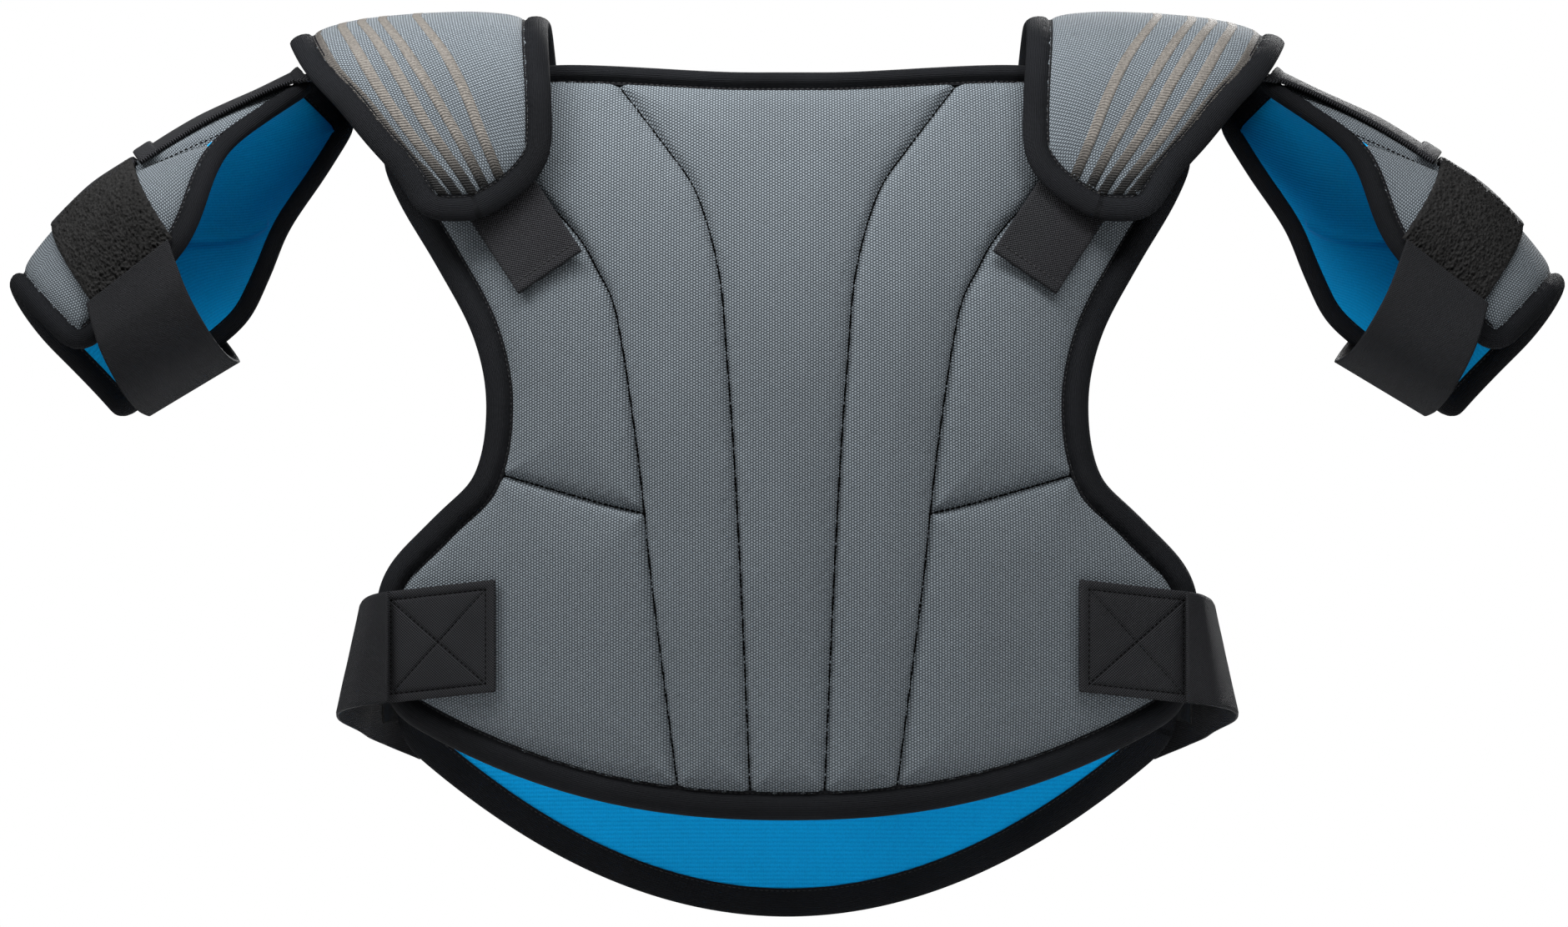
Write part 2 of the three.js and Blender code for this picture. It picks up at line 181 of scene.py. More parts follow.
SLOPE = math.radians(ARM["slope"])
ARM_AXIS = np.array([math.cos(SLOPE), 0, -math.sin(SLOPE)])
ARM_UP = np.array([math.sin(SLOPE), 0, math.cos(SLOPE)])
ARM_SHOULDER = np.array([ARM["shoulder_x"], 0, ARM["shoulder_z"]])


def arm_frame(s, across, up):
    """A point from distance along the arm, front-back place and height over the arm's axis."""
    s, across, up = np.broadcast_arrays(s, across, up)
    return (ARM_SHOULDER + s[..., None] * ARM_AXIS + up[..., None] * ARM_UP
            + across[..., None] * np.array([0.0, 1.0, 0.0]))


def arm_point(s, angle):
    """A point of the arm pad's middle surface: angle 0 is on top, negative angles are at the back."""
    turn = np.radians(angle)
    under = ease(np.clip(np.abs(angle) / ARM["front_angle"], 0, 1))
    up = lerp(arm_top_radius(s), arm_under_radius(s), under)
    return arm_frame(s, arm_depth_radius(s) * np.sin(turn), up * np.cos(turn))


def arm_surface(u, v):
    over_the_top = ease(np.clip((v - 0.3) / 0.4, 0, 1))
    s = u * ARM["length"] + 6 * u ** 4 + 10 * u * u * over_the_top
    return arm_point(s, lerp(-arm_back_angle(s), ARM["front_angle"], v))


YOKE_NECK = [(121, -50, -1), (120, -30, 3), (120, 0, 5), (120, 30, 0), (118, 58, -22), (114, 67, -44),
             (112, 69, -62)]
YOKE_ARM = [(176, -45, -41), (178, -32, -26), (178, 0, -16), (176, 28, -20), (172, 46, -36), (166, 54, -50),
            (160, 57, -61)]


def yoke_surface(u, v):
    return lerp(catmull(YOKE_NECK, v), catmull(YOKE_ARM, v), u[..., None])


ARM_STRAP_PATH = [(-58, 4), (-56, -17), (-42, -39), (-14, -53), (18, -55), (45, -39), (56, -18)]


def arm_strap_surface(u, v):
    """The arm elastic across its width by u and from its free end to its sewn end by v."""
    at = catmull(ARM_STRAP_PATH, v)
    hang = np.sin(np.pi * np.clip(v, 0, 1))
    drawn_in = np.clip(v / 0.5, 0, 1)
    s = 97 + 21 * np.sin(drawn_in * math.pi / 2) - 8 * np.clip(v - 0.5, 0, 1) + u * ARM_STRAP
    return arm_frame(s, at[..., 0], at[..., 1] + (u - 0.35) * lerp(6, 13, hang))


WAIST_PATH = [(193, -68), (205, -58), (213, -30), (214, 0), (208, 30), (203, 56), (191, 76)]


def waist_strap_surface(u, v):
    """The waist elastic from its sewn end forward: its lower edge stands out, then tucks in at the end."""
    along = np.clip(u, 0, 1) * 1.2
    at = catmull(WAIST_PATH, np.clip(u, 0, 1))
    flare = 12 * np.sin(np.pi * np.minimum(along, 1)) * (0.5 - v)
    tuck = 7 * np.clip((along - 0.9) / 0.3, 0, 1) * (1 - v)
    drop = 24 * along ** 1.6
    return vec(at[..., 0] + flare - tuck, at[..., 1], WAIST_TOP - WAIST_STRAP * (1 - v) - drop)


LOOP_TAB_PATH = [(199, 8), (199, 24), (198.5, 38), (196, 48), (189.5, 55.5)]


def loop_tab_surface(u, v):
    """The tab sewn into the chest panel's side binding, standing back inside the waist strap."""
    at = catmull(LOOP_TAB_PATH, u)
    return vec(at[..., 0], at[..., 1], lerp(-321, -284, v))


def normals_of(surface, u, v, reach=1e-3):
    along = surface(u + reach, v) - surface(u - reach, v)
    up = surface(u, v + reach) - surface(u, v - reach)
    return unit(np.cross(along, up))


# ---- mesh builders ----


def add_object(name, data):
    item = bpy.data.objects.new(name, data)
    bpy.context.scene.collection.objects.link(item)
    return item


def make(name, points, faces, uv=None, materials=(), face_materials=None, sign=1):
    """A mesh object from points in millimetres; sign -1 mirrors it to the left side."""
    points = np.array(points, dtype=float) * MM
    faces = np.asarray(faces)
    if sign < 0:
        points[:, 0] *= -1
        faces = faces[:, ::-1]
    mesh = bpy.data.meshes.new(name)
    mesh.from_pydata(points.tolist(), [], faces.tolist())
    for material in materials:
        mesh.materials.append(material)
    if face_materials is not None:
        mesh.polygons.foreach_set("material_index", np.asarray(face_materials, dtype=np.int32))
    mesh.polygons.foreach_set("use_smooth", np.full(len(mesh.polygons), True))
    if uv is not None:
        corners = np.empty(len(mesh.loops), dtype=np.int32)
        mesh.loops.foreach_get("vertex_index", corners)
        layer = mesh.uv_layers.new(name="Fabric")
        layer.data.foreach_set("uv", (np.asarray(uv, dtype=float) * MM)[corners].ravel())
    mesh.update()
    return add_object(f"look_{name}", mesh)


def quads(ids):
    return np.stack([ids[:-1, :-1], ids[1:, :-1], ids[1:, 1:], ids[:-1, 1:]], axis=-1).reshape(-1, 4)


def border_of(grid):
    """The border of a grid as one closed run, counter-clockwise about its normal."""
    return np.concatenate([grid[:-1, 0], grid[-1, :-1], grid[1:, -1][::-1], grid[0, 1:][::-1]])


def lengths_of(points):
    """Distances along both directions of a grid of points, for its weave."""
    u = np.zeros(points.shape[:2])
    v = np.zeros(points.shape[:2])
    u[1:] = np.cumsum(np.linalg.norm(np.diff(points, axis=0), axis=-1), axis=0)
    v[:, 1:] = np.cumsum(np.linalg.norm(np.diff(points, axis=1), axis=-1), axis=1)
    middle = points.shape[0] // 2
    u -= u[middle]
    return np.stack([u, v], axis=-1)


def body(name, outer, inner, materials, sign=1, uv=None):
    """A closed body between two grids of points; the last material is on the inner side and the walls."""
    count = outer.shape[0] * outer.shape[1]
    ids = np.arange(count).reshape(outer.shape[:2])
    rim = border_of(ids)
    ahead = np.roll(rim, -1)
    walls = np.stack([ahead, rim, rim + count, ahead + count], axis=-1)
    top = quads(ids)
    under = quads(ids + count)[:, ::-1]
    faces = np.concatenate([top, under, walls])
    uv = lengths_of(outer) if uv is None else uv
    slot_ids = np.concatenate([np.zeros(len(top)), np.full(len(under) + len(walls), len(materials) - 1)])
    points = np.concatenate([outer.reshape(-1, 3), inner.reshape(-1, 3)])
    uv = np.concatenate([uv.reshape(-1, 2)] * 2)
    return make(name, points, faces, uv=uv, materials=materials, face_materials=slot_ids, sign=sign)


def ring(name, stations, materials, sign=1):
    """A tube closed on itself, from a (stations, sides, 3) array."""
    count, sides = stations.shape[:2]
    ids = np.arange(count * sides).reshape(count, sides)
    ids = np.concatenate([ids, ids[:1]])
    ids = np.concatenate([ids, ids[:, :1]], axis=1)
    along = np.zeros((count, sides))
    along[1:] = np.cumsum(np.linalg.norm(np.diff(stations, axis=0), axis=-1).mean(axis=1))[:, None]
    around = np.zeros((count, sides))
    around[:, 1:] = np.cumsum(np.linalg.norm(np.diff(stations, axis=1), axis=-1), axis=1)
    uv = np.stack([along, around], axis=-1).reshape(-1, 2)
    return make(name, stations.reshape(-1, 3), quads(ids), uv=uv, materials=materials, sign=sign)


def resample(points, pitch, closed=True):
    """Points at an even pitch along a run of points, and what share of the run each one is at."""
    loop = np.concatenate([points, points[:1]]) if closed else points
    along = np.concatenate([[0], np.cumsum(np.linalg.norm(np.diff(loop, axis=0), axis=-1))])
    count = max(int(round(along[-1] / pitch)), 3)
    at = np.arange(count) * along[-1] / count if closed else np.linspace(0, along[-1], count + 1)
    return np.stack([np.interp(at, along, column) for column in loop.T], axis=-1), at


def smoothed(values, reach):
    """A closed run of values averaged over neighbours, about reach steps either way."""
    kernel = np.exp(-0.5 * (np.arange(-3 * reach, 3 * reach + 1) / reach) ** 2)
    kernel /= kernel.sum()
    padded = np.pad(values, [(3 * reach, 3 * reach), (0, 0)], mode="wrap")
    return np.stack([np.convolve(column, kernel, mode="valid") for column in padded.T], axis=-1)


def edge_frame(surface, us, vs, pitch=2.0, corner=5.0):
    """The border of a surface with rounded corners: points, outward directions and normals."""
    grid_u, grid_v = np.meshgrid(us, vs, indexing="ij")
    u = border_of(grid_u)
    v = border_of(grid_v)
    both = np.concatenate([surface(u, v), normals_of(surface, u, v)], axis=-1)
    loop = np.concatenate([both, both[:1]])
    along = np.concatenate([[0], np.cumsum(np.linalg.norm(np.diff(loop[:, :3], axis=0), axis=-1))])
    count = int(round(along[-1] / pitch))
    at = np.arange(count) * along[-1] / count
    even = np.stack([np.interp(at, along, column) for column in loop.T], axis=-1)
    even = smoothed(even, max(int(round(corner / pitch)), 1))
    points = even[:, :3]
    normals = unit(even[:, 3:])
    tangents = unit(np.roll(points, -1, axis=0) - np.roll(points, 1, axis=0))
    outward = unit(np.cross(tangents, normals))
    return points, outward, normals


# Half the section of a binding, as (out, up) pairs: the part sewn down, in millimetres from the panel's edge
# and from its seat, then the bead, in shares of the tape's reach and of the bead's peak.
TAPE_SEWN = [(-2.6, -0.8), (-2.6, 0.4), (-2.1, 0.75), (-1.3, 0.1), (-0.6, 0.35)]
TAPE_BEAD = [(0.4, 1), (0.62, 0.9), (0.8, 0.68), (0.93, 0.4), (1, 0.1)]


def tape_half(seat, peak, reach):
    rise = peak - seat
    sewn = [(out, seat + up) for out, up in TAPE_SEWN]
    rising = [(0.5, seat + 0.6 * rise), (0.2 * reach, seat + 0.88 * rise)]
    bead = [(out * reach, up * peak) for out, up in TAPE_BEAD]
    return sewn + rising + bead


def tape(name, edge, seats, peaks, reach, sign=1, share=None):
    """Binding folded over an edge: pressed down and puckered where it is sewn, a round bead outside.

    Seats and peaks are heights on the outer and the inner side. The share is how much of the full reach the
    tape has at each station.
    """
    points, outward, normals = edge
    front = tape_half(seats[0], peaks[0], reach)
    back = tape_half(seats[1], peaks[1], reach)
    section = np.array(front + [(out, -up) for out, up in reversed(back)])
    across, height = section[None, :, 0], section[None, :, 1]
    step = np.arange(len(points))[:, None]
    pucker = 0.34 * np.sin(step * 2.33) * np.sin(step * 0.31 + 1) + 0.2 * np.sin(step * 0.9)
    share = np.ones(len(points)) if share is None else share
    out = np.where(across > 0, across * share[:, None], across)
    near_stitch = np.exp(-((out - 0.6) / 1.7) ** 2)
    up = height + np.sign(height) * pucker * near_stitch
    stations = points[:, None] + outward[:, None] * out[..., None] + normals[:, None] * up[..., None]
    return ring(name, stations[:, ::-1], [TAPE], sign)


# A stitch's shape along its length: place as a share of the length, and thickness as a share of the radius.
THREAD_SHAPE = [(-0.5, 0.15), (-0.42, 0.75), (0, 1.0), (0.42, 0.75), (0.5, 0.15)]
THREAD_SIDES = 6


def stitch_faces():
    """Faces of one stitch: its sides, and each six-sided end as two quads."""
    rings = len(THREAD_SHAPE)
    ids = np.arange(rings * THREAD_SIDES).reshape(rings, THREAD_SIDES)
    end = (rings - 1) * THREAD_SIDES
    caps = [[5, 4, 1, 0], [4, 3, 2, 1], [end, end + 1, end + 4, end + 5], [end + 1, end + 2, end + 3, end + 4]]
    return np.concatenate([quads(np.concatenate([ids, ids[:, :1]], axis=1)), np.array(caps)])


def stitches(name, paths, material, sign=1, length=THREAD_LENGTH, radius=THREAD_RADIUS):
    """Rows of stitches along paths of (points, normals, closed), each sinking into the cloth at its ends."""
    places, directions, ups = [], [], []
    for points, normals, closed in paths:
        run, _ = resample(np.concatenate([points, normals], axis=-1), STITCH_PITCH, closed)
        ahead = np.roll(run[:, :3], -1, axis=0) - run[:, :3]
        if not closed:
            ahead[-1] = ahead[-2]
        places.append(run[:, :3])
        directions.append(unit(ahead))
        ups.append(unit(run[:, 3:]))
    at = np.concatenate(places)
    ahead = np.concatenate(directions)
    up = np.concatenate(ups)
    across = unit(np.cross(up, ahead))
    corners = []
    for place, thickness in THREAD_SHAPE:
        for turn in np.arange(THREAD_SIDES) * 2 * math.pi / THREAD_SIDES:
            sideways = math.cos(turn) * radius * thickness
            height = math.sin(turn) * radius * thickness - 1.4 * radius * abs(place)
            corners.append(at + ahead * (place * length) + across * sideways + up * height)
    verts = np.stack(corners, axis=1)
    first = np.arange(len(at)) * len(corners)
    faces = (stitch_faces()[None] + first[:, None, None]).reshape(-1, 4)
    return make(name, verts.reshape(-1, 3), faces, materials=[material], sign=sign)


def nearest(points, targets):
    """Distance from each point to the closest target."""
    tree = KDTree(len(targets))
    for index, target in enumerate(targets):
        tree.insert(target, index)
    tree.balance()
    return np.array([tree.find(point)[2] for point in points.reshape(-1, 3)]).reshape(points.shape[:-1])


def cushion(distance, reach, crown):
    """Height of stuffed fabric by distance from the nearest sewn line: a round shoulder, then a low dome."""
    near = np.clip(distance / (reach * 0.5), 0, 1)
    far = np.clip(distance / (reach * 1.5), 0, 1)
    return crown * (0.5 * np.sqrt(1 - (1 - near) ** 2) + 0.5 * np.sin(far * math.pi / 2))


def waviness(points, scale, seed):
    """Smooth, repeatable unevenness between -1 and 1."""
    draw = np.random.default_rng(seed)
    total = np.zeros(points.shape[:-1])
    for _ in range(6):
        direction = draw.normal(size=3)
        direction /= np.linalg.norm(direction)
        length = scale * draw.uniform(0.6, 1.6)
        total += np.sin(points @ direction * 2 * math.pi / length + draw.uniform(0, 6.28))
    return total / 6


# ---- cloth ----


def swell(points, sewn, limit):
    """Lets air pressure swell a grid of cloth that is held where it is sewn; returns the moves in millimetres.

    A move is never longer than the limit.
    """
    shape = points.shape
    ids = np.arange(shape[0] * shape[1]).reshape(shape[:2])
    cloth = make("swelling_cloth", points.reshape(-1, 3), quads(ids))
    group = cloth.vertex_groups.new(name="sewn")
    group.add(np.flatnonzero(sewn.ravel()).tolist(), 1.0, "REPLACE")
    modifier = cloth.modifiers.new("swelling", "CLOTH")
    settings = modifier.settings
    settings.quality = 5
    settings.mass = 0.3
    settings.tension_stiffness = 12
    settings.compression_stiffness = 12
    settings.shear_stiffness = 4
    settings.bending_stiffness = 0.4
    settings.air_damping = 2
    settings.vertex_group_mass = "sewn"
    settings.use_pressure = True
    settings.uniform_pressure_force = CLOTH_PRESSURE
    settings.effector_weights.gravity = 0
    scene = bpy.context.scene
    for step in range(1, CLOTH_STEPS + 1):
        scene.frame_set(step)
    shown = cloth.evaluated_get(bpy.context.evaluated_depsgraph_get())
    result = np.empty(len(shown.data.vertices) * 3)
    shown.data.vertices.foreach_get("co", result)
    moves = result.reshape(shape) / MM - points
    bpy.data.objects.remove(cloth, do_unlink=True)
    scene.frame_set(1)
    size = np.linalg.norm(moves, axis=-1, keepdims=True)
    return moves * np.minimum(1, limit / np.maximum(size, 1e-6))


def finer(values, rows, columns):
    """A grid of vectors read at more rows and columns."""
    for axis, count in ((0, rows), (1, columns)):
        old = np.linspace(0, 1, values.shape[axis])
        new = np.linspace(0, 1, count)
        values = np.apply_along_axis(lambda run: np.interp(new, old, run), axis, values)
    return values


# ---- materials ----


class Shader:
    """A material whose nodes are made and joined by name."""

    def __init__(self, name, roughness, specular, sheen=0.0, metallic=0.0):
        self.material = bpy.data.materials.new(name)
        self.material.use_nodes = True
        self.nodes = self.material.node_tree.nodes
        self.links = self.material.node_tree.links
        self.surface = self.nodes["Principled BSDF"]
        self.surface.inputs["Roughness"].default_value = roughness
        self.surface.inputs["Metallic"].default_value = metallic
        self.surface.inputs["Specular IOR Level"].default_value = specular
        self.surface.inputs["Sheen Weight"].default_value = sheen
        self.surface.inputs["Sheen Roughness"].default_value = 0.5

    def put(self, kind, values=(), **settings):
        node = self.nodes.new(kind)
        for key, value in settings.items():
            setattr(node, key, value)
        for key, value in dict(values).items():
            if isinstance(value, bpy.types.NodeSocket):
                self.links.new(value, node.inputs[key])
            else:
                node.inputs[key].default_value = value
        return node

    def math(self, operation, a, b=0.0):
        return self.put("ShaderNodeMath", {0: a, 1: b}, operation=operation).outputs[0]

    def half_up(self, socket):
        """A value from -1 to 1 moved to 0 to 1."""
        return self.math("ADD", self.math("MULTIPLY", socket, 0.5), 0.5)

    def coordinates(self):
        """The two directions of the cloth, in metres."""
        uv = self.put("ShaderNodeUVMap", uv_map="Fabric").outputs[0]
        parts = self.put("ShaderNodeSeparateXYZ", {0: uv})
        return parts.outputs[0], parts.outputs[1]

    def noise(self, scale, detail):
        """Noise through the piece's own space; the scale is in lumps per metre."""
        place = self.put("ShaderNodeTexCoord").outputs["Object"]
        return self.put("ShaderNodeTexNoise", {"Vector": place, "Scale": scale, "Detail": detail}).outputs[0]

    def remap(self, value, low, high, to_low=0.0, to_high=1.0):
        return self.put("ShaderNodeMapRange", {"Value": value, "From Min": low, "From Max": high,
                                               "To Min": to_low, "To Max": to_high}).outputs[0]

    def join(self, colour, level, height, depth):
        """Joins the colour, made lighter or darker by a level, and the bump to the surface."""
        tinted = self.put("ShaderNodeVectorMath", {0: colour, 1: level}, operation="MULTIPLY").outputs[0]
        bump = self.put("ShaderNodeBump", {"Height": height, "Strength": 1.0, "Distance": depth})
        self.links.new(tinted, self.surface.inputs["Base Color"])
        self.links.new(bump.outputs[0], self.surface.inputs["Normal"])
        return self.material

    def wave(self, along, across, x, y):
        """Cosine of x/along + y/across full turns, both pitches in metres."""
        total = self.math("MULTIPLY", x, 2 * math.pi / along) if along else None
        if across:
            other = self.math("MULTIPLY", y, 2 * math.pi / across)
            total = other if total is None else self.math("ADD", total, other)
        return self.math("COSINE", total)

    def shade(self, height, dark, light, depth, variation):
        """Colour between dark and light by height, uneven over the piece, with the height as bump."""
        patches = self.noise(14.0, 3.0)
        fuzz = self.noise(1400.0, 2.0)
        mixed = self.put("ShaderNodeMix", {"Factor": height, 6: (*dark, 1), 7: (*light, 1)}, data_type="RGBA")
        tone = self.remap(patches, 0.3, 0.7, 1 - variation, 1 + variation)
        grain = self.remap(fuzz, 0.3, 0.7, 0.9, 1.1)
        rough = self.math("ADD", height, self.math("MULTIPLY", fuzz, 0.35))
        return self.join(mixed.outputs[2], self.math("MULTIPLY", tone, grain), rough, depth)


def mesh_fabric():
    """Grey air mesh: a honeycomb of small holes."""
    shader = Shader("mesh_fabric", roughness=0.8, sheen=0.05, specular=0.25)
    x, y = shader.coordinates()
    pitch = 0.0013
    rise = pitch * 1.6 / 1.5
    level = shader.wave(pitch, None, x, y)
    rising = shader.wave(pitch * 2, rise, x, y)
    falling = shader.wave(pitch * 2, -rise, x, y)
    total = shader.math("ADD", level, shader.math("ADD", rising, falling))
    height = shader.remap(total, -1.2, 1.6)
    return shader.shade(height, (0.025, 0.031, 0.037), (0.15, 0.174, 0.193), 0.0006, variation=0.06)


def liner_fabric():
    """Bright blue knit with fine ribs."""
    shader = Shader("liner_fabric", roughness=0.85, sheen=0.05, specular=0.06)
    x, y = shader.coordinates()
    ribs = shader.half_up(shader.wave(None, 0.0021, x, y))
    knit = shader.half_up(shader.wave(0.0009, None, x, y))
    height = shader.math("ADD", shader.math("MULTIPLY", ribs, 0.8), shader.math("MULTIPLY", knit, 0.2))
    return shader.shade(height, (0.0, 0.215, 0.47), (0.0, 0.258, 0.545), 0.0002, variation=0.05)


def tape_fabric():
    """Charcoal knit tape."""
    shader = Shader("binding", roughness=0.7, specular=0.05)
    x, y = shader.coordinates()
    rising = shader.wave(0.0009, 0.0018, x, y)
    falling = shader.wave(0.0009, -0.0018, x, y)
    knit = shader.half_up(shader.math("MULTIPLY", rising, falling))
    return shader.shade(knit, (0.002, 0.0022, 0.0027), (0.0125, 0.0133, 0.0155), 0.0006, variation=0.25)


def webbing(name, along, across, dark, light):
    """Black webbing or elastic: a plain weave whose two pitches are given, its raised points coloured lighter as
    painted highlight over the black yarn.
    """
    shader = Shader(name, roughness=0.6, specular=0.06)
    x, y = shader.coordinates()
    both = shader.math("MULTIPLY", shader.wave(along, None, x, y), shader.wave(None, across, x, y))
    weave = shader.math("POWER", shader.half_up(both), 1.6)
    # The weave's height also sets the colour: its crests get the light colour, a painted highlight, and its
    # hollows the dark yarn colour.
    return shader.shade(weave, dark, light, 0.0007, variation=0.18)


def pile():
    """Fuzzy loop pile."""
    shader = Shader("loop_pile", roughness=1.0, specular=0.02)
    clumps = shader.noise(700.0, 5.0)
    return shader.shade(clumps, (0.002, 0.002, 0.002), (0.022, 0.0217, 0.0215), 0.0006, variation=0.2)


def plain(name, dark, light, roughness, specular):
    """A plain surface with fine grain."""
    shader = Shader(name, roughness=roughness, specular=specular)
    return shader.shade(shader.noise(900.0, 3.0), dark, light, 0.0002, variation=0.1)


def stripe_print():
    """Taupe print over the mesh; the second cloth coordinate fades it from near black (0) to full colour (1)."""
    shader = Shader("stripe_print", roughness=0.6, metallic=0.1, specular=0.1)
    x, y = shader.coordinates()
    fade = shader.remap(y, 0.0, MM)
    ramp = shader.put("ShaderNodeValToRGB", {"Fac": fade})
    stops = ramp.color_ramp.elements
    stops[0].color = (0.008, 0.008, 0.008, 1)
    stops[1].color = (0.100, 0.092, 0.083, 1)
    stops[1].position = 0.55
    dots = shader.half_up(shader.wave(0.00145, None, x, y))
    fuzz = shader.noise(900.0, 2.0)
    level = shader.remap(fuzz, 0.3, 0.7, 0.7, 1.2)
    return shader.join(ramp.outputs[0], level, shader.math("ADD", dots, fuzz), 0.0003)


MESH = mesh_fabric()
LINER = liner_fabric()
TAPE = tape_fabric()
# Webbing and elastic: the light colour is painted highlight on the weave's crests; the dark colour is the black
# yarn's own.
WEB = webbing("webbing", 0.0013, 0.0013, (0.0012, 0.0012, 0.0015), (0.040, 0.041, 0.045))
ELASTIC = webbing("elastic", 0.0022, 0.0009, (0.002, 0.002, 0.0023), (0.036, 0.037, 0.041))
PILE = pile()
THREAD = plain("thread", (0.006, 0.006, 0.0065), (0.018, 0.018, 0.019), roughness=0.5, specular=0.2)
DARK_THREAD = plain("dark_thread", (0.0008, 0.0008, 0.0008), (0.003, 0.003, 0.003),
                    roughness=0.8, specular=0.02)
PRINT = stripe_print()


def own(piece, body_name, slot, *nodes, padded=None):
    """Gives a piece its body and hides the CAD nodes it stands for; the record slot is not used."""
    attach(piece, body_name)
    describe(nodes)


def own_across(piece, bodies, start, end, sign, slot, node, padded=None):
    """Hides the CAD node a piece stands for and bakes the piece's transform into its mesh; the bodies, start and
    end are not used.
    """
    describe([node])
    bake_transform(piece)


def describe(nodes):
    if nodes:
        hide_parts(*nodes)


# ---- quilted panels ----

SEAM_HEIGHT = 0.4     # the cover's height over a panel's middle surface where it is sewn down
CROWN = 8.4           # how far the foam lifts the cover over its seams
LINING_SEAT = 3.0     # how far the lining lies behind the middle surface at its edge
BEAD_PEAK = 4.6       # half the thickness of a panel's binding
QUILT_REACH = 20      # how far from a seam the cover keeps rising
CLOTH_SHARE = 0.28    # how much of the crown the cloth simulation gives; the distance to a seam gives the rest
GROOVE_DEPTH = 2.4
GROOVE_WIDTH = 1.7


def seam_run(points_2d, point_of, step=1.5):
    """A seam through (x, z) points, laid on a panel."""
    run, _ = resample(np.array(points_2d, dtype=float), step, closed=False)
    return point_of(run[:, 0], run[:, 1])


def quilt_swelling(surface, us, vs, edge, seam_points):
    """How far air pressure lifts a quilted cover, worked out on every fourth row and column."""
    u, v = np.meshgrid(us[::4], vs[::4], indexing="ij")
    start = surface(u, v)
    held = np.minimum(nearest(start, edge) - 1.0, nearest(start, seam_points)) < 3.0
    return finer(swell(start, held, limit=CROWN), len(us), len(vs))


def panel_cover(surface, seams, seed):
    """Points, normals and heights of a quilted cover."""
    us = np.linspace(-1, 1, 301)
    vs = np.linspace(0, 1, 261)
    u, v = np.meshgrid(us, vs, indexing="ij")
    points = surface(u, v)
    normals = normals_of(surface, u, v)
    edge = border_of(points)
    seam_points = np.concatenate(seams)
    to_edge = np.maximum(nearest(points, edge) - 2.2, 0)
    to_seam = nearest(points, seam_points)
    to_sewn = np.minimum(to_seam, to_edge)

    dome = CROWN * cushion(to_sewn, QUILT_REACH, 1)
    swelling = np.sum(quilt_swelling(surface, us, vs, edge, seam_points) * normals, axis=-1)
    swelling = swelling if swelling.any() else dome
    unevenness = 1 + 0.07 * waviness(points, 90, seed)
    height = SEAM_HEIGHT + unevenness * ((1 - CLOTH_SHARE) * dome + CLOTH_SHARE * swelling)
    height -= GROOVE_DEPTH * np.exp(-(to_seam / GROOVE_WIDTH) ** 2)
    pucker = waviness(points, 6.5, seed + 1)
    height += 0.42 * pucker * np.exp(-((to_sewn - 4.5) / 3.0) ** 2)
    return points, normals, height


def panel_liner(points, normals, seed):
    """A liner's outer and inner points: a thin dome behind the panel, on every third point of its cover."""
    edge = border_of(points)
    points = points[::3, ::3]
    normals = normals[::3, ::3]
    to_edge = nearest(points, edge)
    dome = cushion(np.maximum(to_edge - 3, 0), 24, 1) * (2.6 + 0.5 * waviness(points, 60, seed))
    return points - normals * 1.9, points - normals * (LINING_SEAT + dome)[..., None], points[..., [0, 2]]


def panel(name, surface, seams, body_name, foams, seed, neck_share=1.0):
    """A quilted panel's cover, liner, binding and the stitches of the binding.

    The neck share is how much of the binding's reach it has along the top edge.
    """
    points, normals, height = panel_cover(surface, seams, seed)
    outer = points + normals * height[..., None]
    inner = points + normals * (SEAM_HEIGHT - 2.4)
    cover = body(f"{name}_cover", outer, inner, [MESH, LINER], uv=points[..., [0, 2]])
    own(cover, body_name, "mesh_fabric", f"{name}_cover", *foams, padded=0.7)

    outer, inner, uv = panel_liner(points, normals, seed + 5)
    liner = body(f"{name}_liner", outer, inner, [LINER], uv=uv)
    own(liner, body_name, "liner_fabric", f"{name}_liner", padded=0.5)

    edge = edge_frame(surface, np.linspace(-1, 1, 220), np.linspace(0, 1, 200), corner=6.0)
    at_neck = smoothed((edge[1][:, 2:3] > 0.8).astype(float), 4)[:, 0]
    seats = (SEAM_HEIGHT, LINING_SEAT + 0.4)
    binding = tape(f"{name}_binding", edge, seats, (BEAD_PEAK, BEAD_PEAK), PANEL_TAPE,
                   share=lerp(1, neck_share, at_neck))
    own(binding, body_name, "binding", f"{name}_binding")
    rows = edge_stitches(edge, SEAM_HEIGHT + 0.5, LINING_SEAT + 0.9)
    own(stitches(f"{name}_binding_stitches", rows, THREAD), body_name, "binding")


def edge_stitches(edge, above, below=None):
    """Stitch rows where a binding is sewn on: over it and, when asked, under it."""
    points, outward, normals = edge
    rows = [(points - outward * 1.3 + normals * (above - 0.25), normals, True)]
    if below is not None:
        rows.append((points - outward * 1.3 - normals * (below - 0.25), -normals, True))
    return rows


def seam_stitches(name, seams, normal_of, body_name):
    """Thread ticks at the bottom of the quilting grooves."""
    paths = []
    for run in seams:
        normals = normal_of(run)
        paths.append((run + normals * (SEAM_HEIGHT - 0.7), normals, False))
    own(stitches(name, paths, DARK_THREAD, radius=0.5, length=2.75), body_name, "binding")


def panel_normal(point_of):
    """A function giving a panel's outward directions at points on it."""
    def normals(points):
        x, z = points[:, 0], points[:, 2]
        along = point_of(x + 0.05, z) - point_of(x - 0.05, z)
        up = point_of(x, z + 0.05) - point_of(x, z - 0.05)
        facing = np.cross(along, up)
        outward = np.sign(points[:, 1:2]) * np.sign(facing[:, 1:2])
        return unit(facing * outward)
    return normals


